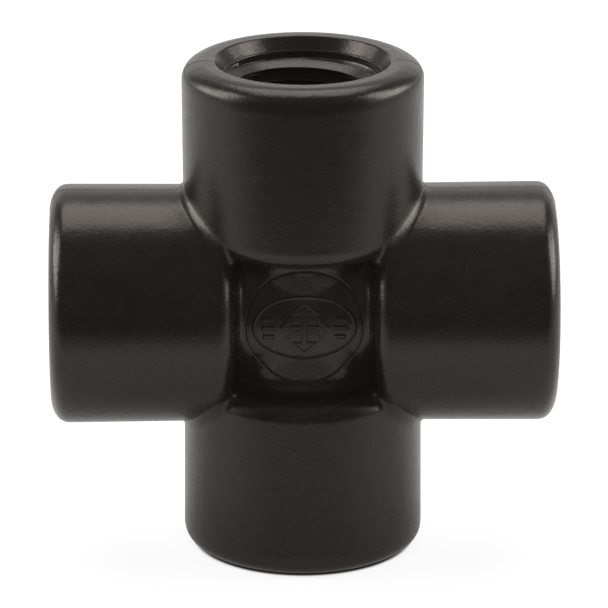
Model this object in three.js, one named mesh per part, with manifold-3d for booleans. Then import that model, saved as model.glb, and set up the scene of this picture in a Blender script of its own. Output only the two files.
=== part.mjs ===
// Threaded pipe cross: one moulded body with four equal female ports.
// Millimetres, +Z up.  The origin is where the two bores cross.  The vertical
// run lies along Z, the horizontal run along X, and the fitting's two flat-on
// faces look along -Y (front) and +Y (back).

import * as THREE from 'three';
import { mergeVertices } from 'three/addons/utils/BufferGeometryUtils.js';
import Module from 'manifold-3d';

// ---------------------------------------------------------------- dimensions
// Collars (the four barrels)
const END_TO_END = 70.4;          // port face to port face, both runs
const COLLAR_END_OD = 33.4;       // barrel diameter next to the port face
const COLLAR_ROOT_OD = 33.1;      // barrel diameter where barrels meet (mould draft)
const RIM_ROUND = 2.5;            // outside rounding of the port rim
// Centre pockets, front and back
const POCKET_HALF_TOP = 9.9;      // pocket wall to axis, at the barrel surface
const POCKET_HALF_FLOOR = 9.4;    // pocket wall to axis, at the pocket floor
const POCKET_EDGE_ROUND = 1.8;    // rounding of the barrel's edge round the pocket
const POCKET_FLOOR_FILLET = 1.1;  // fillet between pocket wall and floor
const NECK_OD = 22.4;             // crossing necks that make the pocket floor
const NECK_OVERLAP = 0.4;         // how far a neck runs on into the collars
// Oval pads on the pocket floors
const PAD_HALF_WIDTH = 7.2;
const PAD_HALF_HEIGHT = 4.6;
const PAD_PROUD = 0.12;           // height of the pad over the neck
const PAD_END_GAP = 0.3;          // pad surface stops this far short of the floor fillet
// Fillet in the groin between two neighbouring barrels
const GROIN_FILLET = 1.3;
const GROIN_HALF_DEPTH = 12.4;    // ball centre's furthest reach along Y
const GROIN_EDGE_SINK = 0.08;     // arc ends sit this far inside the barrels
const GROIN_BURY = 1.5;           // depth of the fillet's buried edge below the barrels
// Bore
const CORE_BORE_D = 15.8;         // smooth crossing bores
const CORE_CONE_LENGTH = 1.2;     // cone from the smooth bore up to the thread
const CORE_OVERLAP = 0.2;         // how far the core cut runs on into the thread
const MOUTH_D = 24.4;             // lead-in cone at the port face
const MOUTH_CONE_D = 21.9;        // lead-in cone at its bottom
const MOUTH_CONE_DEPTH = 1.7;
const MOUTH_WALL_D = 21.5;        // short plain wall under the cone
const MOUTH_WALL_DEPTH = 2.7;     // depth of the plain wall's bottom
const MOUTH_OVERRUN = 1;          // how far the cut runs on past the port face
const CHAMFER_SLOPE = 0.7;        // chamfer depth per unit of radius
const CHAMFER_REF_DEPTH = 4;      // depth whose minor radius sizes the chamfer
// Thread: 1/2-14 taper pipe thread, right hand
const THREAD_PITCH = 25.4 / 14;
const THREAD_PITCH_D_AT_FACE = 19.772;
const THREAD_HEIGHT = 0.8 * THREAD_PITCH;
const THREAD_TAPER = 1 / 32;      // radius lost per unit depth
const THREAD_FLAT = 0.08;         // crest flat, as a share of the pitch
const THREAD_START = 2.2;         // depth at which the cut starts
const THREAD_END = 18.0;          // depth at which the thread has run out
// Facets
const BARREL_SEGMENTS = 40;
const BORE_SEGMENTS = 24;
const THREAD_SEGMENTS = 24;
const POCKET_EDGE_STEPS = 3;
const RIM_STEPS = 4;
const FLOOR_FILLET_STEPS = 2;
const GROIN_SECTIONS = 10;
const GROIN_ARC_STEPS = 3;
const PAD_CURVE_SEGMENTS = 7;

const HALF = END_TO_END / 2;
const R_END = COLLAR_END_OD / 2;
const R_ROOT = COLLAR_ROOT_OD / 2;
const R_NECK = NECK_OD / 2;
const NECK_STRAIGHT_END = POCKET_HALF_FLOOR - POCKET_FLOOR_FILLET;
const THREAD_INNER_Z = HALF - THREAD_END;
const THREAD_OUTER_Z = HALF - THREAD_START;

// The four arms: rotations that take the +Z arm to each port.
const ARMS = [0, Math.PI / 2, Math.PI, -Math.PI / 2]
  .map((angle) => new THREE.Matrix4().makeRotationY(angle));
// The two runs, vertical and horizontal, for pieces that span both ports.
const RUNS = ARMS.slice(0, 2);

const wasm = await Module();
wasm.setup();

// ------------------------------------------------------------------- helpers
// Signed volume of an indexed closed mesh; negative when its faces point in.
function signedVolume(positions, index) {
  const corner = (i) => new THREE.Vector3().fromArray(positions, 3 * index[i]);
  let volume = 0;
  for (let t = 0; t < index.length; t += 3) {
    volume += corner(t).dot(corner(t + 1).cross(corner(t + 2)));
  }
  return volume / 6;
}

// A closed three.js geometry as a solid: shared vertices merged, collapsed
// triangles dropped, faces turned outwards.  Strips the geometry's normals and uvs.
function solid(geometry) {
  geometry.deleteAttribute('normal');
  geometry.deleteAttribute('uv');
  const merged = mergeVertices(geometry, 1e-4);
  const positions = merged.attributes.position.array;
  const source = merged.index.array;
  const kept = [];
  for (let t = 0; t < source.length; t += 3) {
    const [a, b, c] = source.slice(t, t + 3);
    if (a !== b && b !== c && c !== a) kept.push(a, b, c);
  }
  if (signedVolume(positions, kept) < 0) {
    for (let t = 0; t < kept.length; t += 3) {
      [kept[t + 1], kept[t + 2]] = [kept[t + 2], kept[t + 1]];
    }
  }
  return new wasm.Manifold(new wasm.Mesh({
    numProp: 3,
    vertProperties: positions,
    triVerts: new Uint32Array(kept),
  }));
}

const union = (solids) => solids.reduce((sum, next) => sum.add(next));

// One solid copy of a geometry for each placement.
const copies = (geometry, placements) =>
  placements.map((placement) => solid(geometry.clone().applyMatrix4(placement)));

function indexedGeometry(positionAttribute, index) {
  const geometry = new THREE.BufferGeometry();
  geometry.setAttribute('position', positionAttribute);
  geometry.setIndex(index);
  return geometry;
}

// A turned shape along +Z from [radius, z] points, starting and ending on the axis.
function turned(profile, segments) {
  const points = profile.map(([radius, z]) => new THREE.Vector2(radius, z));
  return new THREE.LatheGeometry(points, segments).rotateX(Math.PI / 2);
}

// A whole profile from its +Z half, listed from the middle outwards.
const mirrored = (half) => [...half.map(([radius, z]) => [radius, -z]).reverse(), ...half];

// Profile points of a round centred on [centreR, z], between two angles in degrees.
function arc(centreR, z, round, fromDeg, toDeg, steps) {
  return Array.from({ length: steps + 1 }, (_, i) => {
    const angle = THREE.MathUtils.degToRad(fromDeg + (toDeg - fromDeg) * i / steps);
    return [centreR + round * Math.cos(angle), z + round * Math.sin(angle)];
  });
}

// -------------------------------------------------------------------- barrel
// One collar: pocket wall with a slight draft, rounded pocket edge, drafted
// barrel and rounded rim.
function collar() {
  const edgeR = R_ROOT - POCKET_EDGE_ROUND;
  const edgeZ = POCKET_HALF_TOP + POCKET_EDGE_ROUND;
  return turned([
    [0, POCKET_HALF_FLOOR],
    [R_NECK, POCKET_HALF_FLOOR],
    ...arc(edgeR, edgeZ, POCKET_EDGE_ROUND, -90, 0, POCKET_EDGE_STEPS),
    ...arc(R_END - RIM_ROUND, HALF - RIM_ROUND, RIM_ROUND, 0, 90, RIM_STEPS),
    [0, HALF],
  ], BARREL_SEGMENTS);
}

// One neck, flaring into the pocket walls at both ends with the floor fillet.
function neck() {
  const flareR = R_NECK + POCKET_FLOOR_FILLET;
  const endZ = POCKET_HALF_FLOOR + NECK_OVERLAP;
  return turned(mirrored([
    ...arc(flareR, NECK_STRAIGHT_END, POCKET_FLOOR_FILLET, 180, 90, FLOOR_FILLET_STEPS),
    [flareR, endZ],
    [0, endZ],
  ]), BARREL_SEGMENTS);
}

// The fillet between the +Z and +X barrels: the path of a ball that touches
// both, filled in behind it.  Sections run round the corner from front to back;
// each is the arc between the two touching points and one point buried in the
// barrels.
function groinFillet() {
  const pathR = R_ROOT + GROIN_FILLET;
  const buriedR = R_ROOT - GROIN_BURY;
  const perSection = GROIN_ARC_STEPS + 2;
  const vertices = [];
  const index = [];
  for (let s = 0; s <= GROIN_SECTIONS; s++) {
    const y = GROIN_HALF_DEPTH * Math.sin(-Math.PI / 2 + Math.PI * s / GROIN_SECTIONS);
    const offset = Math.sqrt(pathR ** 2 - y ** 2);
    const centre = new THREE.Vector3(offset, y, offset);
    // Directions from the ball's centre to its touching points.
    const toVertical = new THREE.Vector3(-offset, -y, 0).normalize();
    const toHorizontal = new THREE.Vector3(0, -y, -offset).normalize();
    for (let k = 0; k <= GROIN_ARC_STEPS; k++) {
      const direction = toVertical.clone().lerp(toHorizontal, k / GROIN_ARC_STEPS).normalize();
      // The two ends are sunk so the join leaves no step.
      const sink = k === 0 || k === GROIN_ARC_STEPS ? GROIN_EDGE_SINK : 0;
      vertices.push(...centre.clone().addScaledVector(direction, GROIN_FILLET + sink));
    }
    const buriedY = y * buriedR / pathR;
    const buriedOffset = Math.sqrt(buriedR ** 2 - buriedY ** 2);
    vertices.push(buriedOffset, buriedY, buriedOffset);
  }
  for (let s = 0; s < GROIN_SECTIONS; s++) {
    for (let k = 0; k < perSection; k++) {
      const a = s * perSection + k;
      const b = s * perSection + (k + 1) % perSection;
      index.push(a, b, b + perSection, a, b + perSection, a + perSection);
    }
  }
  const last = GROIN_SECTIONS * perSection;
  for (let k = 1; k < perSection - 1; k++) {
    index.push(0, k + 1, k);
    index.push(last, last + k, last + k + 1);
  }
  return indexedGeometry(new THREE.Float32BufferAttribute(vertices, 3), index);
}

// Front and back oval pads: an elliptical column along Y, cut to the shape of
// slightly larger necks.
function ovalPads() {
  const radius = R_NECK + PAD_PROUD;
  const length = 2 * (NECK_STRAIGHT_END - PAD_END_GAP);
  const limit = new THREE.CylinderGeometry(radius, radius, length, BARREL_SEGMENTS)
    .rotateX(Math.PI / 2);
  const oval = new THREE.Shape();
  oval.absellipse(0, 0, PAD_HALF_WIDTH, PAD_HALF_HEIGHT, 0, Math.PI * 2);
  const column = new THREE.ExtrudeGeometry(oval, {
    depth: 4 * R_NECK,
    bevelEnabled: false,
    curveSegments: PAD_CURVE_SEGMENTS,
  }).translate(0, 0, -2 * R_NECK).rotateX(Math.PI / 2);
  return union(copies(limit, RUNS)).intersect(solid(column));
}

// -------------------------------------------------------------------- thread
// Radius of the thread crests at a depth below the port face.
const minorAt = (depth) =>
  THREAD_PITCH_D_AT_FACE / 2 - THREAD_HEIGHT / 2 - depth * THREAD_TAPER;

// Right-hand taper thread as the solid that the port is cut with.  Rows of
// vertices follow the helix, three to a pitch: both edges of the crest flat and
// the root.  Rows past either end collapse on to its rim, so the cutter closes
// flat.
function threadCutter() {
  const rowOffsets = [0, THREAD_FLAT, 0.5 + THREAD_FLAT / 2];  // in pitches
  const perTurn = rowOffsets.length;
  const rootRow = perTurn - 1;
  const turns = Math.ceil((THREAD_OUTER_Z - THREAD_INNER_Z) / THREAD_PITCH) + 1;
  const rows = perTurn * turns;
  const vertices = [];
  const index = [];
  for (let j = 0; j <= rows + perTurn; j++) {
    const rowTurns = Math.floor(j / perTurn) + rowOffsets[j % perTurn];
    for (let i = 0; i < THREAD_SEGMENTS; i++) {
      const helixZ = THREAD_INNER_Z + THREAD_PITCH * (rowTurns + i / THREAD_SEGMENTS - 1);
      const z = THREE.MathUtils.clamp(helixZ, THREAD_INNER_Z, THREAD_OUTER_Z);
      const inGroove = z === helixZ && j % perTurn === rootRow;
      // The groove fades in over the first turn from the inner end.
      const fade = THREE.MathUtils.smoothstep(z, THREAD_INNER_Z, THREAD_INNER_Z + THREAD_PITCH);
      const radius = minorAt(HALF - z) + (inGroove ? THREAD_HEIGHT * fade : 0);
      const angle = 2 * Math.PI * i / THREAD_SEGMENTS;
      vertices.push(radius * Math.cos(angle), radius * Math.sin(angle), z);
    }
  }
  // A full turn round from row j lands one pitch up, at the start of row j + perTurn.
  const at = (i, j) =>
    (i < THREAD_SEGMENTS ? j * THREAD_SEGMENTS + i : (j + perTurn) * THREAD_SEGMENTS);
  const innerCentre = vertices.length / 3;
  const outerCentre = innerCentre + 1;
  vertices.push(0, 0, THREAD_INNER_Z, 0, 0, THREAD_OUTER_Z);
  for (let i = 0; i < THREAD_SEGMENTS; i++) {
    for (let j = 0; j < rows; j++) {
      index.push(at(i, j), at(i + 1, j), at(i + 1, j + 1));
      index.push(at(i, j), at(i + 1, j + 1), at(i, j + 1));
    }
    index.push(innerCentre, at(i + 1, 0), at(i, 0));
    index.push(outerCentre, at(i, rows), at(i + 1, rows));
  }
  return indexedGeometry(new THREE.Float32BufferAttribute(vertices, 3), index);
}

// ---------------------------------------------------------------------- bore
// Lead-in cone, short plain wall and the chamfer that opens the first thread.
function mouthCutter() {
  const wallR = MOUTH_WALL_D / 2;
  const chamferEnd = MOUTH_WALL_DEPTH + (wallR - minorAt(CHAMFER_REF_DEPTH)) * CHAMFER_SLOPE;
  return turned([
    [0, HALF - chamferEnd],
    [minorAt(chamferEnd), HALF - chamferEnd],
    [wallR, HALF - MOUTH_WALL_DEPTH],
    [wallR, HALF - MOUTH_CONE_DEPTH],
    [MOUTH_CONE_D / 2, HALF - MOUTH_CONE_DEPTH],
    [MOUTH_D / 2, HALF],
    [MOUTH_D / 2, HALF + MOUTH_OVERRUN],
    [0, HALF + MOUTH_OVERRUN],
  ], BORE_SEGMENTS);
}

// One smooth bore, with a short cone up to the thread's inner end at each port.
function coreCutter() {
  const threadR = minorAt(THREAD_END);
  const endZ = THREAD_INNER_Z + CORE_OVERLAP;
  return turned(mirrored([
    [CORE_BORE_D / 2, THREAD_INNER_Z - CORE_CONE_LENGTH],
    [threadR, THREAD_INNER_Z],
    [threadR, endZ],
    [0, endZ],
  ]), BORE_SEGMENTS);
}

// ------------------------------------------------------------------ assembly
function crossBodyGeometry() {
  const cross = union([...copies(collar(), ARMS), ...copies(neck(), RUNS)])
    .add(union(copies(groinFillet(), ARMS)))
    .add(ovalPads())
    .subtract(union(copies(mouthCutter(), ARMS)))
    .subtract(union(copies(coreCutter(), RUNS)))
    .subtract(union(copies(threadCutter(), ARMS)));
  const { vertProperties, triVerts } = cross.getMesh();
  const geometry = indexedGeometry(
    new THREE.Float32BufferAttribute(vertProperties, 3),
    new THREE.Uint32BufferAttribute(triVerts, 1),
  );
  geometry.computeVertexNormals();
  return geometry;
}

const plastic = new THREE.MeshStandardMaterial({
  color: 0x272422,
  roughness: 0.32,
  metalness: 0.0,
});
const crossBody = new THREE.Mesh(crossBodyGeometry(), plastic);
crossBody.name = 'cross_body';

const fitting = new THREE.Group();
fitting.add(crossBody);

export default fitting;
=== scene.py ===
"""Four-way threaded pipe cross in black moulded plastic, in a turntable studio.

+Z is the vertical run, X the horizontal run and -Y the front; the axes cross at the origin.
The body is worked out in millimetres and written in metres.  "Along" is the distance from
the centre along an arm, and "depth" the distance into a port from its face.
"""

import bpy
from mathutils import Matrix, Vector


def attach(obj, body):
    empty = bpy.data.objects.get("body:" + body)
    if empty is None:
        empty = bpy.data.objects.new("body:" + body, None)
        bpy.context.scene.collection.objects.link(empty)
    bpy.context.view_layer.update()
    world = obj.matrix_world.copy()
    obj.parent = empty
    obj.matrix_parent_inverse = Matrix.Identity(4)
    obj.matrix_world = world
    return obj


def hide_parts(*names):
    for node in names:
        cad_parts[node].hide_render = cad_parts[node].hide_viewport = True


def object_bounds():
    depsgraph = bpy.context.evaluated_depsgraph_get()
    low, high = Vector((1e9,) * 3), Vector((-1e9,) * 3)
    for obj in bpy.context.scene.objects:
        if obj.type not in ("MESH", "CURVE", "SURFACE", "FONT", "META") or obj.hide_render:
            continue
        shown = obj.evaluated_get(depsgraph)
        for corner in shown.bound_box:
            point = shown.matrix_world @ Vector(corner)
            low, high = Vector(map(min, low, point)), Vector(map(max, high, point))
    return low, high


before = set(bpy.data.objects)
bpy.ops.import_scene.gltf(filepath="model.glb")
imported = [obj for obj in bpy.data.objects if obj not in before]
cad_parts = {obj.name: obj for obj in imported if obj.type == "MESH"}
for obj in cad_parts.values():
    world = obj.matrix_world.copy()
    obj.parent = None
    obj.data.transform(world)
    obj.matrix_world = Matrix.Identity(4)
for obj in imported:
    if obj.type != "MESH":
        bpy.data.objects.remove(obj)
cad_box = [list(c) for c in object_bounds()]

import math

import bmesh
import bpy
import numpy as np
from mathutils import Vector
from mathutils.geometry import delaunay_2d_cdt

MM = 0.001
HALF = cad_box[1][2] / MM            # centre to port face

# Barrels
PORT_RADIUS = cad_box[1][1] / MM
ROOT_RADIUS = PORT_RADIUS - 0.15     # where the barrels meet
TAPER_START, TAPER_LENGTH = 11, 21
GROIN_FILLET = 1.3                   # between neighbouring barrels

# Port rim: a flat face, a slow curve, then a quicker one into the barrel
RIM_FLAT = 13.6
SLOW_RADIUS, QUICK_RADIUS = 3.72, 2.1
RIM_TURN = math.radians(52)          # where the curves meet
SLOW_CENTRE = (RIM_FLAT, HALF - SLOW_RADIUS)     # radius, along
QUICK_CENTRE = (SLOW_CENTRE[0] + (SLOW_RADIUS - QUICK_RADIUS) * math.cos(RIM_TURN),
                SLOW_CENTRE[1] + (SLOW_RADIUS - QUICK_RADIUS) * math.sin(RIM_TURN))

# Pockets at front and back, between the barrel ends
POCKET_TOP = 9.9                     # wall to centre at the barrel surface
POCKET_FLOOR = 9.4                   # and at the floor
POCKET_EDGE = 2.4                    # rounding of the barrel's edge
FLOOR_FILLET = 1.7
NECK_RADIUS, NECK_END = 11.2, 12     # crossing necks that make the pocket floors
NECK_FILLET = 1.0

# Relief on the surface
PARTING_HEIGHT, PARTING_WIDTH = 0.045, 0.075     # mould parting line
PARTING_START, PARTING_FADE = 12.5, 0.5
DETAIL_RADIUS = 8.6                  # floor detail stays within this
RING_RADIUS, RING_DEPTH, RING_WIDTH = 8.10, 0.13, 0.10     # round mould-insert line
OVAL_ACROSS, OVAL_UP, OVAL_HEIGHT = 7.2, 4.6, 0.13         # oval pad, half sizes
BEAD_INSET, BEAD_HEIGHT, BEAD_WIDTH = 0.2, 0.07, 0.13      # bead just inside its edge
MARK_HEIGHT = 0.24                   # raised marks on the front pad
EDGE_SPREAD = 0.2                    # width of the pad's and marks' sloping edges
CROSS_LENGTH, CROSS_WIDTH, CROSS_CORNER = 2.4, 0.36, 0.1   # bars of the arrow, half sizes
ARROW_TIP, ARROW_BASE = 3.45, 2.05
DASH_CENTRE, DASH_HEIGHT, DASH_CORNER = 4.95, 0.26, 0.12
DASHES = ((1.3, 0.75), (0.0, 0.95), (-1.3, 0.75))          # height, half length

# Bore and thread
BORE_RADIUS, BORE_START = 7.9, 16.1
PITCH = 25.4 / 14                    # 1/2-14 taper pipe thread
THREAD_HEIGHT = 0.8 * PITCH
PITCH_RADIUS = 19.772 / 2            # at the face
TAPER = 1 / 32
WALL_RADIUS, WALL_DEPTH = 10.8, 2.7  # plain wall under the lead-in cone
LEAD_SLOPE, LEAD_BLEND = 2.8, 0.25   # chamfer that opens the first turn
THREAD_END = 18.0
THREAD_PHASE = 0.31                  # turn the thread starts on
THREAD_FADE = 1.2 * PITCH
# part of a pitch, part of the thread height
THREAD_PROFILE = ((0.0, 0.0), (0.09, 0.0), (0.47, 0.93), (0.545, 1.0), (0.62, 0.93))

# Centre mesh
CUT_ALONG = 18.0                     # it stops here on each arm
CUT_RADIUS = 8.62                    # and leaves a round gap in each pocket floor
POCKET_DEEP = 5                      # pocket floors lie further than this from y = 0
GRID_STEP = 0.45
WELD = 0.03
QUICK_TURN = 0.978                   # cosine between normals below which an edge is split
PARTING_CUTS = (-0.17, -0.07, 0.07, 0.17)

# Columns round each arm: even, with narrow ones either side of the parting line.
NARROW = [side + offset for side in (90, 270) for offset in (-0.58, -0.24, 0.24, 0.58)]
AROUND = np.radians(np.sort(np.concatenate([np.arange(120) * 3.0, NARROW])))
COLUMNS = len(AROUND)

# Rings along each arm
BARREL_ALONG = (18.7, 21.0, 24.0, 27.0, 30.0, 31.8)
RIM_DEGREES = (0, 11, 22, 33, 43, 52, 59, 66, 73, 79, 85, 90)
FACE_RADII = (13.0, 12.42)
# radius, position from the port face: small edge round, lead-in cone, plain wall
MOUTH = ((12.34, -0.012), (12.26, -0.05), (12.18, -0.115), (12.1, -0.22), (11.55, -0.95),
         (11.02, -1.64), (10.96, -1.7), (10.88, -1.75), (10.82, -1.83), (WALL_RADIUS, -1.95))
# radius, along: step from the thread run-out down to the bore
BORE_STEP = ((BORE_RADIUS + 0.35, 16.9), (BORE_RADIUS + 0.08, 16.4), (BORE_RADIUS, BORE_START))
BORE_PARTS = (0.5, 0.85, 0.975)      # parts of the way from there to the crossing

# Rings on each pocket floor
SPOKES = 256
CROWDING = 0.5
# offsets from the mould-insert line, then parts of the way to the oval, then
# offsets from the oval's edge
RING_OFFSETS = (0.34, 0.22, 0.15, 0.09, 0.04, 0.0, -0.04, -0.09, -0.15, -0.22)
GAP_PARTS = (0.2, 0.4, 0.6, 0.8)
OVAL_OFFSETS = (0.26, 0.16, 0.09, 0.03, -0.03, -0.09, -0.16, -0.24, -0.32, -0.42)
FRONT_STEPS, BACK_STEPS = 58, 9      # from there to the middle; the front carries the marks


# ------------------------------------------------------------ outside surface
def round_union(first, second, fillet):
    return (np.maximum(fillet, np.minimum(first, second))
            - np.hypot(np.maximum(fillet - first, 0), np.maximum(fillet - second, 0)))


def rounded(x, y, corner):
    """Distance to a quarter-plane with a rounded corner."""
    outside = np.hypot(np.maximum(x, 0), np.maximum(y, 0))
    return outside + np.minimum(np.maximum(x, y), 0) - corner


def smooth(part):
    part = np.clip(part, 0, 1)
    return part * part * (3 - 2 * part)


def barrel_radius(along):
    part = np.clip((along - TAPER_START) / TAPER_LENGTH, 0, 1)
    return ROOT_RADIUS + (PORT_RADIUS - ROOT_RADIUS) * part


def collar(radius, along):
    """Distance to a barrel, from its port face to the pocket wall."""
    barrel = barrel_radius(along)
    rim = np.maximum(along - HALF, radius - barrel)

    def turn_and_arc(centre, arc_radius):
        out, up = radius - centre[0], along - centre[1]
        return np.arctan2(up, out), np.hypot(out, up) - arc_radius

    slow_turn, slow_arc = turn_and_arc(SLOW_CENTRE, SLOW_RADIUS)
    quick_turn, quick_arc = turn_and_arc(QUICK_CENTRE, QUICK_RADIUS)
    on_slow = (slow_turn >= RIM_TURN) & (slow_turn < math.pi / 2)
    on_quick = (slow_turn < RIM_TURN) & (quick_turn > 0)
    rim = np.where(on_slow, np.maximum(slow_arc, rim),
                   np.where(on_quick, np.maximum(quick_arc, rim), rim))
    part = np.clip((radius - NECK_RADIUS) / (ROOT_RADIUS - NECK_RADIUS), 0, 1)
    wall = POCKET_FLOOR + (POCKET_TOP - POCKET_FLOOR) * part
    edge = rounded(radius - (barrel - POCKET_EDGE), wall + POCKET_EDGE - along, POCKET_EDGE)
    return np.maximum(rim, edge)


def bar(across, up, half_across, half_up, corner):
    """2-D distance to a rounded bar about the origin."""
    return rounded(np.abs(across) - (half_across - corner), np.abs(up) - (half_up - corner), corner)


def arrowed_cross(across, up):
    """2-D distance to a four-way arrow: two bars and four arrowheads."""
    distance = np.minimum(bar(across, up, CROSS_LENGTH, CROSS_WIDTH, CROSS_CORNER),
                          bar(across, up, CROSS_WIDTH, CROSS_LENGTH, CROSS_CORNER))
    for way_x, way_z in ((1, 0), (-1, 0), (0, 1), (0, -1)):
        ahead = across * way_x + up * way_z
        aside = np.abs(across * way_z - up * way_x)
        head = np.maximum((ahead - ARROW_TIP) * 0.75 + aside * 0.66, ARROW_BASE - ahead)
        distance = np.minimum(distance, head)
    return distance


def floor_relief(across, up, from_centre, front):
    """Height of the insert line, oval pad and front marks over the pocket floor."""
    scaled = np.hypot(across / OVAL_ACROSS, up / OVAL_UP)
    steepness = (np.hypot(across / OVAL_ACROSS ** 2, up / OVAL_UP ** 2)
                 / np.maximum(scaled, 1e-3))
    oval = (scaled - 1) / np.maximum(steepness, 1e-3)
    height = -RING_DEPTH * np.exp(-((from_centre - RING_RADIUS) / RING_WIDTH) ** 2)
    height = (height + OVAL_HEIGHT * smooth(0.5 - oval / EDGE_SPREAD)
              + BEAD_HEIGHT * np.exp(-((oval + BEAD_INSET) / BEAD_WIDTH) ** 2))
    mark = arrowed_cross(across, up)
    for row, half in DASHES:
        dash = bar(np.abs(across) - DASH_CENTRE, up - row, half, DASH_HEIGHT, DASH_CORNER)
        mark = np.minimum(mark, dash)
    return height + np.where(front, MARK_HEIGHT * smooth(0.5 - mark / EDGE_SPREAD), 0)


def relief(x, y, z):
    """Height of the fine detail over the plain surface."""
    from_axis = np.hypot(np.minimum(np.abs(x), np.abs(z)), y)
    height = (PARTING_HEIGHT * np.exp(-(y / PARTING_WIDTH) ** 2)
              * smooth((from_axis - PARTING_START) / PARTING_FADE))
    from_centre = np.hypot(x, z)
    pocket = (from_centre < DETAIL_RADIUS) & (np.abs(y) > POCKET_DEEP)
    height[pocket] += floor_relief(x[pocket], z[pocket], from_centre[pocket], y[pocket] < 0)
    return height


def field(points):
    """Signed distance to the outside surface, as if the ports were plugged."""
    x, y, z = points[..., 0], points[..., 1], points[..., 2]
    arms = ((np.hypot(x, y), np.abs(z)), (np.hypot(z, y), np.abs(x)))
    collars = round_union(*[collar(radius, along) for radius, along in arms], GROIN_FILLET)
    necks = round_union(*[np.maximum(radius - NECK_RADIUS, along - NECK_END)
                          for radius, along in arms], NECK_FILLET)
    return round_union(collars, necks, FLOOR_FILLET) - relief(x, y, z)


def slope(points, axis, step=0.01):
    offset = np.zeros(3)
    offset[axis] = step
    return (field(points + offset) - field(points - offset)) / (2 * step)


def gradient(points):
    return np.stack([slope(points, axis) for axis in range(3)], -1)


def unit(vectors):
    return vectors / np.maximum(np.linalg.norm(vectors, axis=-1, keepdims=True), 1e-12)


def on_surface(points, rounds):
    """Moves points onto the outside surface by Newton steps."""
    for _ in range(rounds):
        grad = gradient(points)
        reach = field(points) / np.maximum((grad * grad).sum(-1), 0.25)
        points = points - grad * reach[..., None]
    return points


# ------------------------------------------------- centre mesh (surface nets)
def cells_beside(edges, axis_1, axis_2, back_1, back_2, shape):
    """One of the four grid cells round each edge, and whether it is in the grid."""
    cells = edges.copy()
    cells[:, axis_1] -= back_1
    cells[:, axis_2] -= back_2
    return cells, ((cells >= 0) & (cells < np.array(shape))).all(1)


def surface_nets():
    """Quads over the zero of the field: one vertex per crossed cell, one quad per edge."""
    long_count = int(CUT_ALONG / GRID_STEP) + 4
    y_count = int(PORT_RADIUS / GRID_STEP) + 3
    long_axis = (np.arange(-long_count, long_count) + 0.5) * GRID_STEP
    y_axis = (np.arange(-y_count, y_count) + 0.5) * GRID_STEP
    grid = np.stack(np.meshgrid(long_axis, y_axis, long_axis, indexing="ij"), -1)
    distance = field(grid)
    inside = distance < 0
    shape = tuple(n - 1 for n in distance.shape)
    total, count = np.zeros(shape + (3,)), np.zeros(shape, int)
    crossings = []
    for axis in range(3):
        low = [slice(None)] * 3
        high = [slice(None)] * 3
        low[axis], high[axis] = slice(0, -1), slice(1, None)
        low, high = tuple(low), tuple(high)
        edges = np.argwhere(inside[low] != inside[high])
        at = tuple(edges.T)
        start, end = distance[low][at], distance[high][at]
        crossing = grid[low][at].copy()
        crossing[:, axis] += start / (start - end) * GRID_STEP
        axis_1, axis_2 = [k for k in range(3) if k != axis]
        for back in ((0, 0), (0, 1), (1, 0), (1, 1)):
            cells, ok = cells_beside(edges, axis_1, axis_2, *back, shape)
            np.add.at(total, tuple(cells[ok].T), crossing[ok])
            np.add.at(count, tuple(cells[ok].T), 1)
        crossings.append((axis, edges, inside[low][at]))
    used = count > 0
    ids = -np.ones(shape, int)
    ids[used] = np.arange(used.sum())
    verts = total[used] / count[used][:, None]
    quads = []
    for axis, edges, starts_inside in crossings:
        corners = [cells_beside(edges, (axis + 1) % 3, (axis + 2) % 3, *back, shape)
                   for back in ((1, 1), (0, 1), (0, 0), (1, 0))]
        ok = np.all([in_grid for _, in_grid in corners], axis=0)
        quad = np.stack([ids[tuple(cells[ok].T)] for cells, _ in corners], 1)
        flip = ~starts_inside[ok]
        quad[flip] = quad[flip][:, ::-1]
        quads.append(quad)
    return verts, np.concatenate(quads)


def relaxed(verts, quads, rounds=6):
    """Evens out the net: each vertex slides along the surface towards its neighbours' mean."""
    pairs = np.concatenate([quads[:, [k, (k + 1) % 4]] for k in range(4)])
    pairs = np.concatenate([pairs, pairs[:, ::-1]])
    for _ in range(rounds):
        total = np.zeros_like(verts)
        count = np.zeros(len(verts))
        np.add.at(total, pairs[:, 0], verts[pairs[:, 1]])
        np.add.at(count, pairs[:, 0], 1)
        normal = unit(gradient(verts))
        move = total / np.maximum(count, 1)[:, None] - verts
        move -= normal * (move * normal).sum(1, keepdims=True)
        verts = on_surface(verts + 0.5 * move, 1)
    return verts


def boundary_loops(bm):
    """Closed loops of vertex indices round the open edges."""
    following = {}
    for edge in bm.edges:
        if len(edge.link_faces) == 1:
            corner = next(c for c in edge.link_faces[0].loops if c.edge == edge)
            following[corner.vert.index] = corner.link_loop_next.vert.index
    loops = []
    while following:
        start, current = following.popitem()
        loop = [start]
        while current != start:
            loop.append(current)
            current = following.pop(current)
        loops.append(loop)
    return loops


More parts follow.
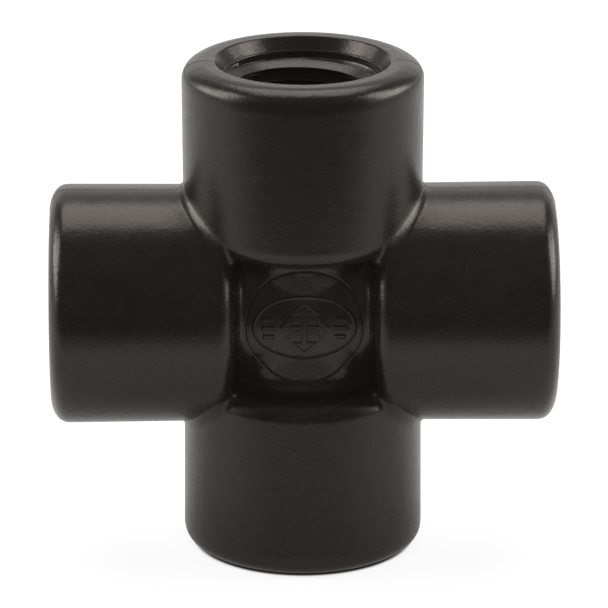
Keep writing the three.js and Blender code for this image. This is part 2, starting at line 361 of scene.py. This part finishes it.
def centre_mesh():
    """Vertices, faces and boundary loops of the middle of the body."""
    verts, quads = surface_nets()
    verts = relaxed(on_surface(verts, 3), quads)
    corners = verts[quads]
    x, y, z = corners[..., 0], corners[..., 1], corners[..., 2]
    beyond = (np.maximum(np.abs(x), np.abs(z)) > CUT_ALONG).any(1)
    on_floor = (np.hypot(x, z) < CUT_RADIUS).any(1) & (np.abs(y) > POCKET_DEEP).all(1)
    bm = bmesh.new()
    bm_verts = [bm.verts.new(v) for v in verts]
    for quad in quads[~beyond & ~on_floor]:
        bm.faces.new([bm_verts[i] for i in quad])
    for vert in [v for v in bm.verts if not v.link_faces]:
        bm.verts.remove(vert)
    bmesh.ops.remove_doubles(bm, verts=bm.verts[:], dist=WELD)
    # Finer where the surface turns quickly, as in the fillets.
    bm.verts.index_update()
    facing = unit(gradient(np.array([v.co for v in bm.verts], float)))
    quick = [e for e in bm.edges
             if facing[e.verts[0].index] @ facing[e.verts[1].index] < QUICK_TURN]
    bmesh.ops.subdivide_edges(bm, edges=quick, cuts=1, use_grid_fill=True)
    # Extra rows beside the parting line, so its ridge is real geometry.
    for y_cut in PARTING_CUTS:
        bmesh.ops.bisect_plane(bm, geom=bm.verts[:] + bm.edges[:] + bm.faces[:], dist=1e-4,
                               plane_co=(0, y_cut, 0), plane_no=(0, 1, 0))
    bm.verts.index_update()
    verts = np.array([v.co for v in bm.verts], float)
    faces = [tuple(v.index for v in f.verts) for f in bm.faces]
    loops = boundary_loops(bm)
    bm.free()
    return on_surface(verts, 3), faces, loops


# ------------------------------------------------------------------ assembling
def distinct(ids):
    return tuple(dict.fromkeys(int(i) for i in ids))


def inside_polygon(point, polygon):
    x, y = polygon[:, 0], polygon[:, 1]
    next_x, next_y = np.roll(x, -1), np.roll(y, -1)
    crossed = (y > point[1]) != (next_y > point[1])
    with np.errstate(divide="ignore", invalid="ignore"):
        at = x + (point[1] - y) * (next_x - x) / (next_y - y)
    return (crossed & (point[0] < at)).sum() % 2 == 1


class Build:
    """Vertices and faces gathered piece by piece."""

    def __init__(self):
        self.verts, self.faces, self.exact, self.count = [], [], [], 0

    def add(self, points, exact):
        """Adds points; exact says their normals come from the outside surface."""
        ids = np.arange(self.count, self.count + len(points))
        self.verts.append(points)
        self.exact.append(np.full(len(points), exact))
        self.count += len(points)
        return ids

    def add_face(self, ids, flip=False):
        """Adds a face, less any repeated corners."""
        face = distinct(ids)
        if len(face) > 2:
            self.faces.append(face[::-1] if flip else face)

    def strips(self, rings, flip=False):
        """Quads between each closed ring of ids and the next."""
        for first, second in zip(rings, rings[1:]):
            if flip:
                first, second = second, first
            quads = (first, np.roll(first, -1), np.roll(second, -1), second)
            for quad in np.stack(quads, 1):
                self.add_face(quad)

    def between(self, outer, inner, flatten, flip):
        """Fills the band between two closed loops of ids; flatten maps points to 2-D."""
        ids = list(outer) + list(inner)
        points = [Vector(p) for p in flatten(np.concatenate(self.verts)[ids])]
        n, m = len(outer), len(inner)
        edges = [(i, (i + 1) % n) for i in range(n)]
        edges += [(n + i, n + (i + 1) % m) for i in range(m)]
        _, _, triangles, origins, _, _ = delaunay_2d_cdt(points, edges, [], 1, 1e-9)
        hole = np.array([p[:] for p in points[n:]])
        for triangle in triangles:
            corners = [origins[i][0] for i in triangle]
            if all(i >= n for i in corners):
                continue
            middle = sum((points[i] for i in corners), Vector((0, 0))) / 3
            if inside_polygon(middle, hole):
                continue
            face = tuple(ids[i] for i in corners)
            self.faces.append(face[::-1] if flip else face)


def arm_matrix(arm):
    """Turns the +Z arm onto the given arm."""
    c, s = math.cos(arm * math.pi / 2), math.sin(arm * math.pi / 2)
    return np.round(np.array([[c, 0, s], [0, 1, 0], [-s, 0, c]]), 12)


def ring(radius, along, turn):
    """Points round an arm; radius and along are each a number or one per column."""
    radius = np.broadcast_to(radius, AROUND.shape)
    along = np.broadcast_to(along, AROUND.shape)
    points = np.stack([radius * np.sin(AROUND), -radius * np.cos(AROUND), along], 1)
    return points @ turn.T


def minor_radius(depth):
    return PITCH_RADIUS - THREAD_HEIGHT / 2 - depth * TAPER


def thread_radius(depth, rise):
    """Radius at a depth, with the thread fading in and the chamfer cut off its first turn."""
    fade = smooth((HALF - depth - (HALF - THREAD_END)) / THREAD_FADE)
    radius = minor_radius(depth) + THREAD_HEIGHT * rise * fade
    chamfer = WALL_RADIUS - (depth - WALL_DEPTH) * LEAD_SLOPE
    # blended so that the chamfer's edge is not knife sharp
    blend = np.maximum(LEAD_BLEND - np.abs(radius - chamfer), 0) ** 2 / (4 * LEAD_BLEND)
    radius = np.maximum(radius, chamfer) + blend
    return np.where(depth - WALL_DEPTH < 1e-9, WALL_RADIUS, radius)


def add_thread(build, turn):
    """Helical rows from the plain wall to the run-out; returns those two rings."""
    start, end = HALF - THREAD_END, HALF - WALL_DEPTH
    per_turn = len(THREAD_PROFILE)
    rows = per_turn * (int(math.ceil((end - start) / PITCH)) + 2)
    run_out = build.add(ring(minor_radius(THREAD_END), start, turn), False)
    wall = build.add(ring(WALL_RADIUS, end, turn), False)
    ids = np.zeros((rows + per_turn + 1, COLUMNS), int)
    for j in range(len(ids)):
        mark, rise = THREAD_PROFILE[j % per_turn]
        turns = j // per_turn + mark + AROUND / (2 * math.pi) + THREAD_PHASE
        helix = start - 2 * PITCH + PITCH * turns
        along = np.clip(helix, start, end)
        new = build.add(ring(thread_radius(HALF - along, rise), along, turn), False)
        ids[j] = np.where(helix <= start + 1e-9, run_out,
                          np.where(helix >= end - 1e-9, wall, new))
    for j in range(rows):
        for i in range(COLUMNS):
            # the last column joins the first one a pitch further on
            ahead, column = (j, i + 1) if i + 1 < COLUMNS else (j + per_turn, 0)
            quad = (ids[j, i], ids[ahead, column], ids[ahead + 1, column], ids[j + 1, i])
            build.add_face(quad, flip=True)
    return wall, run_out


def outside_rows():
    """Radius and along of each ring from the centre mesh to the mouth."""
    rows = [(barrel_radius(along), along) for along in BARREL_ALONG]
    for degrees in RIM_DEGREES:
        angle = math.radians(degrees)
        slow = angle > RIM_TURN
        centre, radius = (SLOW_CENTRE, SLOW_RADIUS) if slow else (QUICK_CENTRE, QUICK_RADIUS)
        rows.append((centre[0] + radius * math.cos(angle), centre[1] + radius * math.sin(angle)))
    return rows + [(radius, HALF) for radius in FACE_RADII]


def add_arm(build, turn, centre_loop):
    """Barrel, rim, mouth, thread and bore of one arm; returns the bore's last ring."""
    rings = [build.add(on_surface(ring(*row, turn), 3), True) for row in outside_rows()]
    for radius, offset in MOUTH:
        rings.append(build.add(ring(radius, HALF + offset, turn), False))
    wall, run_out = add_thread(build, turn)
    build.strips(rings + [wall])

    def unrolled(points):
        """Lays the barrel out flat, with the centre mesh outermost."""
        local = points @ turn
        spread = 40 - local[:, 2]
        angle = np.arctan2(local[:, 0], -local[:, 1])
        return np.stack([spread * np.sin(angle), spread * np.cos(angle)], 1)

    build.between(centre_loop, rings[0], unrolled, True)
    bore = [run_out] + [build.add(ring(*row, turn), False) for row in BORE_STEP]
    crossing = np.abs(BORE_RADIUS * np.sin(AROUND))
    stops = [BORE_START + (crossing - BORE_START) * part for part in BORE_PARTS]
    for along in stops + [crossing]:
        bore.append(build.add(ring(BORE_RADIUS, along, turn), False))
    build.strips(bore)
    return bore[-1]


def spokes(crowd):
    """Directions round the circle, closer together beside the diagonal creases."""
    angle = np.arange(SPOKES) * 2 * math.pi / SPOKES
    angle = angle + crowd / 4 * np.sin(4 * angle)
    return np.cos(angle), np.sin(angle)


def oval_radius(offset, c, s):
    return 1 / np.hypot(c / (OVAL_ACROSS + offset), s / (OVAL_UP + offset))


def floor_rows(steps):
    """Radius, cosine and sine of each ring on a pocket floor, outermost first."""
    c, s = spokes(CROWDING)
    rows = [(np.full(SPOKES, RING_RADIUS + offset), c, s) for offset in RING_OFFSETS]
    inner = RING_OFFSETS[-1]
    oval = oval_radius(OVAL_OFFSETS[0], c, s)
    for part in GAP_PARTS:
        rows.append((RING_RADIUS + inner + (oval - RING_RADIUS - inner) * part, c, s))
    for i, offset in enumerate(OVAL_OFFSETS):
        c, s = spokes(CROWDING * (1 - i / 9))
        rows.append((oval_radius(offset, c, s), c, s))
    last = rows[-1][0]
    return rows + [(last * part, c, s) for part in np.linspace(1, 0, steps + 1)[1:-1]]


def add_pocket_floor(build, side, centre_loop):
    """Floor of the front (side -1) or back (side 1) pocket."""
    back = side > 0
    points = [np.stack([radius * c, np.full(SPOKES, side * NECK_RADIUS), radius * s], 1)
              for radius, c, s in floor_rows(BACK_STEPS if back else FRONT_STEPS)]
    points = np.array(points + [np.tile([[0, side * NECK_RADIUS, 0]], (SPOKES, 1))])
    # Drop the points onto the surface along Y only.
    for _ in range(12):
        distance = field(points)
        steepness = slope(points, 1)
        steepness = np.where(np.abs(steepness) < 0.3, side * 0.3, steepness)
        points[..., 1] -= np.clip(distance / steepness, -1.5, 1.5)
    rings = [build.add(p, True) for p in points[:-1]]
    tip = build.add(points[-1][:1], True)[0]
    build.strips(rings, flip=back)
    last = rings[-1]
    for i in range(SPOKES):
        face = (last[i], last[(i + 1) % SPOKES], tip)
        build.faces.append(face[::-1] if back else face)
    build.between(centre_loop, rings[0], lambda p: p[:, [0, 2]], back)


def welded(build, bore_ends):
    """Joins the four bores where they cross and drops unused vertices."""
    verts, exact = np.concatenate(build.verts), np.concatenate(build.exact)
    remap = np.arange(len(verts))
    pool = np.concatenate(bore_ends)
    for end in pool:
        if remap[end] == end:
            near = pool[np.linalg.norm(verts[pool] - verts[end], axis=1) < 1e-4]
            remap[near] = end
    faces = [distinct(remap[i] for i in face) for face in build.faces]
    faces = [face for face in faces if len(face) > 2]
    used = np.zeros(len(verts), bool)
    for face in faces:
        used[list(face)] = True
    new = np.cumsum(used) - 1
    return verts[used], [tuple(int(new[i]) for i in face) for face in faces], exact[used]


def build_body():
    build = Build()
    verts, faces, loops = centre_mesh()
    build.add(verts, True)
    build.faces.extend(faces)
    middles = [verts[loop].mean(0) for loop in loops]
    bore_ends = []
    for arm in range(4):
        turn = arm_matrix(arm)
        nearest = int(np.argmax([p @ turn[:, 2] for p in middles]))
        bore_ends.append(add_arm(build, turn, loops[nearest]))
    for side in (-1, 1):
        nearest = int(np.argmax([side * p[1] - 100 * np.hypot(p[0], p[2]) for p in middles]))
        add_pocket_floor(build, side, loops[nearest])
    return welded(build, bore_ends)


def vertex_normals(verts, faces, exact):
    """Normals from the outside surface or, in the bores, set mostly by the large faces.

    That keeps thread flanks flat and makes the edges look rounded.
    """
    normals = np.zeros_like(verts)
    for count in (3, 4):
        chosen = np.array([face for face in faces if len(face) == count])
        corner = verts[chosen]
        if count == 3:
            cross = np.cross(corner[:, 1] - corner[:, 0], corner[:, 2] - corner[:, 0])
        else:
            cross = np.cross(corner[:, 2] - corner[:, 0], corner[:, 3] - corner[:, 1])
        cross *= np.linalg.norm(cross, axis=1, keepdims=True)
        for k in range(count):
            np.add.at(normals, chosen[:, k], cross)
    normals = unit(normals)
    normals[exact] = unit(gradient(verts[exact]))
    return normals


def make_body():
    verts, faces, exact = build_body()
    mesh = bpy.data.meshes.new("cross_body_surface")
    mesh.from_pydata((verts * MM).tolist(), [], faces)
    mesh.validate()
    mesh.update()
    mesh.polygons.foreach_set("use_smooth", np.ones(len(mesh.polygons), bool))
    mesh.normals_split_custom_set_from_vertices(vertex_normals(verts, faces, exact).tolist())
    mesh.update()
    obj = bpy.data.objects.new("cross_body_shell", mesh)
    bpy.context.scene.collection.objects.link(obj)
    return obj


# ---------------------------------------------------------------- shader nodes
class Graph:
    """Node tree of a material or world, with short ways to add nodes."""

    def __init__(self, owner):
        owner.use_nodes = True
        self.tree = owner.node_tree
        self.tree.nodes.clear()

    def add(self, kind, inputs=None):
        """Adds a node; inputs maps sockets to a value or to the output that feeds them."""
        node = self.tree.nodes.new(kind)
        for socket, value in (inputs or {}).items():
            self.feed(node.inputs[socket], value)
        return node

    def feed(self, socket, value):
        if isinstance(value, bpy.types.NodeSocket):
            self.tree.links.new(value, socket)
        else:
            socket.default_value = value

    def math(self, operation, *operands):
        node = self.add("ShaderNodeMath", dict(enumerate(operands)))
        node.operation = operation
        return node.outputs[0]

    def vector(self, operation, *operands):
        node = self.add("ShaderNodeVectorMath", dict(enumerate(operands)))
        node.operation = operation
        return node.outputs["Value" if operation in ("DOT_PRODUCT", "LENGTH") else 0]

    def degrees(self, operation, *operands):
        return self.math("MULTIPLY", self.math(operation, *operands), 180 / math.pi)

    def inverse(self, mask):
        return self.math("SUBTRACT", 1.0, mask)

    def step(self, value, start, end):
        """0 below start, 1 above end, smooth between."""
        node = self.add("ShaderNodeMapRange", {
            "Value": value, "From Min": start, "From Max": end, "To Min": 0, "To Max": 1})
        node.interpolation_type = "SMOOTHSTEP"
        return node.outputs["Result"]

    def band(self, value, start, end, soft):
        """1 between start and end, with soft sides."""
        up = self.step(value, start - soft, start + soft)
        down = self.step(value, end - soft, end + soft)
        return self.math("MULTIPLY", up, self.inverse(down))

    def scaled(self, value, mask, change):
        """Value times 1 + change where the mask is 1."""
        return self.math("MULTIPLY", value, self.math("MULTIPLY_ADD", mask, change, 1.0))

    def replaced(self, value, mask, target):
        """The target where the mask is 1."""
        change = self.math("MULTIPLY", mask, self.math("SUBTRACT", target, value))
        return self.math("ADD", value, change)

    def ramp(self, value, stops):
        node = self.add("ShaderNodeValToRGB", {"Fac": value})
        elements = node.color_ramp.elements
        elements.remove(elements[0])
        elements[0].position = stops[0][0]
        elements[0].color = (*stops[0][1], 1)
        for position, color in stops[1:]:
            elements.new(position).color = (*color, 1)
        return node.outputs["Color"]

    def camera_parts(self, direction):
        """Parts of a direction level towards the camera, level to its right, and up."""
        towards, right = self.camera_axes()
        return [self.vector("DOT_PRODUCT", direction, axis) for axis in (towards, right, (0, 0, 1))]

    def camera_axes(self):
        """Level vectors towards the camera and to its right."""
        node = self.add("ShaderNodeVectorTransform", {0: (0, 0, -1)})
        node.vector_type = "VECTOR"
        node.convert_from, node.convert_to = "CAMERA", "WORLD"
        level = self.vector("MULTIPLY", node.outputs[0], (1, 1, 0))
        towards = self.vector("NORMALIZE", level)
        return towards, self.vector("CROSS_PRODUCT", (0, 0, 1), towards)


def moulded_plastic():
    """Charcoal-black filled polypropylene: fine grain, faint flow marks, satin sheen."""
    material = bpy.data.materials.new("moulded_polypropylene")
    graph = Graph(material)
    position = graph.add("ShaderNodeTexCoord").outputs["Object"]

    def noise(scale, detail, roughness):
        return graph.add("ShaderNodeTexNoise", {
            "Vector": position, "Scale": scale, "Detail": detail, "Roughness": roughness,
        }).outputs["Fac"]

    broad = noise(scale=55, detail=3, roughness=0.5)
    mottle = noise(scale=420, detail=4, roughness=0.6)
    grain = noise(scale=2700, detail=1, roughness=0.5)
    speck = noise(scale=3400, detail=1, roughness=0.5)

    # colour: warm charcoal, lighter and darker in broad patches, with fine flecks
    patches = graph.math("MULTIPLY_ADD", broad, 0.5, graph.math("MULTIPLY", mottle, 0.5))
    tone = graph.ramp(patches, [(0.30, (0.0064, 0.0048, 0.0038)),
                                (0.50, (0.0082, 0.0063, 0.0050)),
                                (0.70, (0.0104, 0.0082, 0.0066))])
    flecks = graph.ramp(grain, [(0.60, (0, 0, 0)), (0.78, (1, 1, 1))])
    fleck_amount = graph.math("MULTIPLY", flecks, 0.35)
    color = graph.add("ShaderNodeMix")
    color.data_type = "RGBA"
    # sockets of the colour mix: 0 factor, 6 and 7 the two colours, 2 the result
    for socket, value in ((0, fleck_amount), (6, tone), (7, (0.026, 0.022, 0.019, 1))):
        graph.feed(color.inputs[socket], value)

    # sheen: satin, slightly uneven
    roughness = graph.math("MULTIPLY_ADD", mottle, 0.10, 0.20)
    for texture, amount in ((broad, 0.10), (speck, 0.22)):
        change = graph.math("MULTIPLY", graph.math("SUBTRACT", texture, 0.5), amount)
        roughness = graph.math("ADD", roughness, change)
    glint = graph.add("ShaderNodeMapRange", {
        "Value": speck, "From Min": 0.34, "From Max": 0.66, "To Min": 0.52, "To Max": 0.48})

    # surface: grain, and low waves from moulding
    grain_bump = graph.add("ShaderNodeBump", {
        "Strength": 0.9, "Distance": 0.000018, "Height": grain})
    wave_bump = graph.add("ShaderNodeBump", {
        "Strength": 0.5, "Distance": 0.00010, "Height": mottle,
        "Normal": grain_bump.outputs["Normal"]})
    plastic = graph.add("ShaderNodeBsdfPrincipled", {
        "Base Color": color.outputs[2],
        "Roughness": roughness,
        "IOR": 1.49,
        "Specular IOR Level": glint.outputs["Result"],
        "Specular Tint": (1.0, 0.88, 0.79, 1),
        "Normal": wave_bump.outputs["Normal"]})
    graph.add("ShaderNodeOutputMaterial", {"Surface": plastic.outputs["BSDF"]})
    return material


body = make_body()
body.data.materials.append(moulded_plastic())
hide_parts("cross_body")
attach(body, "root")


# ---------------------------------------------------------------------- stage
# White floor, backdrop and side cards, an overhead softbox and one either side.
# The room behind the camera is dark, and the paper in front of the object carries
# painted shade that makes it dimmer there; both only show as reflections in the plastic,
# because the camera itself sees a plain pale floor and backdrop, with only a painted
# contact shadow under the rim.  The lights keep their place relative to the camera, as
# they do when a turntable turns.
ROOM, WALL, CEILING = 0.06, 0.93, 0.18       # strengths
TOP_BOX, SIDE_BOX = 3.4, 5.8
BACKDROP_SEEN = 1.25
FLOOR_SEEN, FLOOR_GLOW = 0.24, 0.82          # diffuse and emission for camera rays
FLOOR_ALBEDO, FLOOR_LIT = 0.64, 0.15         # and for all other rays
FLOOR_HALF = 2.4
CAMERA_AZIMUTH, CAMERA_ELEVATION = math.radians(-1.16), math.radians(18.8)
CAMERA_DISTANCE = 0.698


def make_world():
    world = bpy.data.worlds.new("studio")
    bpy.context.scene.world = world
    graph = Graph(world)
    direction = graph.add("ShaderNodeTexCoord").outputs["Generated"]
    forward, sideways, up = graph.camera_parts(direction)
    aside = graph.math("ABSOLUTE", sideways)
    tilt = graph.degrees("ARCTAN2", up, forward)       # 0 at the camera, 90 overhead
    lateral = graph.degrees("ARCSINE", aside)
    around = graph.degrees("ARCTAN2", aside, forward)  # 0 at the camera, 180 behind the object
    height = graph.degrees("ARCSINE", up)

    walls = graph.step(around, start=48, end=84)
    light = graph.math("MULTIPLY_ADD", walls, WALL - ROOM, ROOM)
    corner = graph.math("MULTIPLY", graph.band(around, start=122, end=147, soft=5),
                        graph.step(height, start=4, end=14))
    light = graph.scaled(light, corner, change=-0.7)
    behind = graph.math("MULTIPLY", graph.step(around, start=146, end=158),
                        graph.inverse(graph.step(height, start=18, end=28)))
    light = graph.scaled(light, behind, change=0.20)
    light = graph.replaced(light, graph.step(height, start=26, end=56), CEILING)

    top_box = graph.math("MULTIPLY", graph.band(tilt, start=95.5, end=130, soft=3),
                         graph.inverse(graph.step(lateral, start=18, end=25)))
    side_box = graph.math("MULTIPLY", graph.band(around, start=77, end=119, soft=4),
                          graph.band(height, start=7, end=48, soft=4))
    # each side box lacks its upper corner away from the camera
    cut = graph.math("MULTIPLY", graph.step(around, start=102, end=110),
                     graph.step(height, start=24, end=32))
    side_box = graph.math("MULTIPLY", side_box, graph.inverse(cut))
    for box, strength in ((top_box, TOP_BOX), (side_box, SIDE_BOX)):
        light = graph.math("ADD", light, graph.math("MULTIPLY", box, strength))

    is_camera = graph.add("ShaderNodeLightPath").outputs["Is Camera Ray"]
    background = graph.add("ShaderNodeBackground", {
        "Strength": graph.replaced(light, is_camera, BACKDROP_SEEN)})
    graph.add("ShaderNodeOutputWorld", {"Surface": background.outputs["Background"]})


def floor_paper():
    """Paper that camera rays see as even and pale, dark only in a painted contact shadow under the
    rim.

    Reflections see white paper with painted shade, dimmer further in front and close to
    the object, and dark where they leave towards the camera at a low angle.
    """
    material = bpy.data.materials.new("floor_paper")
    graph = Graph(material)
    towards, right = graph.camera_axes()
    back_along = graph.add("ShaderNodeNewGeometry").outputs["Incoming"]
    forward, sideways, up = [graph.vector("DOT_PRODUCT", back_along, axis)
                             for axis in (towards, right, (0, 0, 1))]
    # the ray's heading, 0 towards the camera, and how steeply it comes down
    heading = graph.degrees("ARCTAN2", graph.math("ABSOLUTE", sideways),
                            graph.math("MULTIPLY", forward, -1.0))
    steep = graph.degrees("ARCSINE", up)

    to_side = graph.step(heading, start=25, end=80)
    lit = graph.math("MULTIPLY_ADD", graph.step(steep, start=11.0, end=16.0), 0.57, 0.08)
    lit = graph.math("MULTIPLY_ADD", graph.step(steep, start=21.0, end=27.0), 0.35, lit)
    dark = graph.math("MULTIPLY", graph.inverse(lit), graph.inverse(to_side))
    level = graph.math("MULTIPLY_ADD", to_side, 0.05, 0.87)
    level = graph.math("MULTIPLY", level, graph.inverse(dark))
    grazing = graph.inverse(graph.step(steep, start=3.0, end=9.0))
    level = graph.scaled(level, grazing, change=-0.6)

    place = graph.add("ShaderNodeNewGeometry").outputs["Position"]
    ahead = graph.vector("DOT_PRODUCT", place, towards)
    # painted shade: reflections see the paper darker from 8 to 15 cm in front of the object
    level = graph.scaled(level, graph.step(ahead, start=0.08, end=0.15), change=-0.62)
    # painted shade on the paper close to the object, seen only in reflections
    reach = graph.vector("LENGTH", graph.vector("MULTIPLY", place, (1, 1, 0)))
    near = graph.inverse(graph.step(reach, start=0.03, end=0.06))
    level = graph.scaled(level, near, change=-0.12)
    # painted contact shadow on the paper: 0.01 under the rim, 1 outside it
    rim = graph.step(reach, start=0.0149, end=0.0158)
    contact = graph.math("MULTIPLY_ADD", rim, 0.99, 0.01)
    is_camera = graph.add("ShaderNodeLightPath").outputs["Is Camera Ray"]

    def by_ray(seen, reflected):
        # what the camera sees of the paper is darkened by the painted contact shadow
        seen = graph.math("MULTIPLY", contact, seen)
        reflected = graph.math("MULTIPLY", level, reflected)
        return graph.math("ADD", graph.math("MULTIPLY", is_camera, seen),
                          graph.math("MULTIPLY", graph.inverse(is_camera), reflected))

    diffuse = graph.add("ShaderNodeBsdfDiffuse", {"Color": by_ray(FLOOR_SEEN, FLOOR_ALBEDO)})
    glow = graph.add("ShaderNodeEmission", {"Strength": by_ray(FLOOR_GLOW, FLOOR_LIT)})
    both = graph.add("ShaderNodeAddShader", {0: diffuse.outputs[0], 1: glow.outputs[0]})
    graph.add("ShaderNodeOutputMaterial", {"Surface": both.outputs[0]})
    return material


def painted_lens_glow():
    material = bpy.data.materials.new("painted_lens_glow")
    graph = Graph(material)
    clear = graph.add("ShaderNodeBsdfTransparent")
    # painted glow: the sheet emits a faint warm light over everything the camera sees
    glow = graph.add("ShaderNodeEmission", {"Color": (1.0, 0.82, 0.70, 1), "Strength": 0.0034})
    both = graph.add("ShaderNodeAddShader", {0: clear.outputs[0], 1: glow.outputs[0]})
    graph.add("ShaderNodeOutputMaterial", {"Surface": both.outputs[0]})
    return material


def square(name, half, height, material):
    mesh = bpy.data.meshes.new(name)
    corners = [(x * half, y * half, height) for x, y in ((-1, -1), (1, -1), (1, 1), (-1, 1))]
    mesh.from_pydata(corners, [], [(0, 1, 2, 3)])
    mesh.materials.append(material)
    obj = bpy.data.objects.new(name, mesh)
    bpy.context.scene.collection.objects.link(obj)
    return obj


def make_camera():
    data = bpy.data.cameras.new("camera")
    camera = bpy.data.objects.new("camera", data)
    bpy.context.scene.collection.objects.link(camera)
    bpy.context.scene.camera = camera
    data.lens = 295.0
    data.sensor_width = 36.0
    data.shift_x, data.shift_y = 0.0019, -0.0042
    data.clip_start, data.clip_end = 0.05, 20.0
    back = Vector((math.sin(CAMERA_AZIMUTH) * math.cos(CAMERA_ELEVATION),
                   -math.cos(CAMERA_AZIMUTH) * math.cos(CAMERA_ELEVATION),
                   math.sin(CAMERA_ELEVATION)))
    camera.location = back * CAMERA_DISTANCE
    camera.rotation_mode = "QUATERNION"
    camera.rotation_quaternion = (-back).to_track_quat("-Z", "Y")
    return camera


def make_fill(camera):
    """Broad fill from the camera's side.  It rides the camera and adds no glint."""
    data = bpy.data.lights.new("fill", "SUN")
    data.energy = 1.7
    data.angle = math.radians(50)
    fill = bpy.data.objects.new("fill", data)
    fill.visible_glossy = False
    fill.parent = camera
    bpy.context.scene.collection.objects.link(fill)


def make_veil(camera):
    """Painted glow: a faint emitting sheet over the lens that stands in for glare from the white
    surroundings and lifts the dark and shaded parts.  Only the camera sees it.
    """
    veil = square("veil", half=0.05, height=-0.15, material=painted_lens_glow())
    veil.visible_diffuse = veil.visible_glossy = False
    veil.visible_shadow = veil.visible_transmission = False
    veil.parent = camera


view = bpy.context.scene.view_settings
view.view_transform = "Standard"
view.look = "None"
make_world()
floor = square("floor", half=FLOOR_HALF, height=-HALF * MM, material=floor_paper())
camera = make_camera()
make_fill(camera)
make_veil(camera)
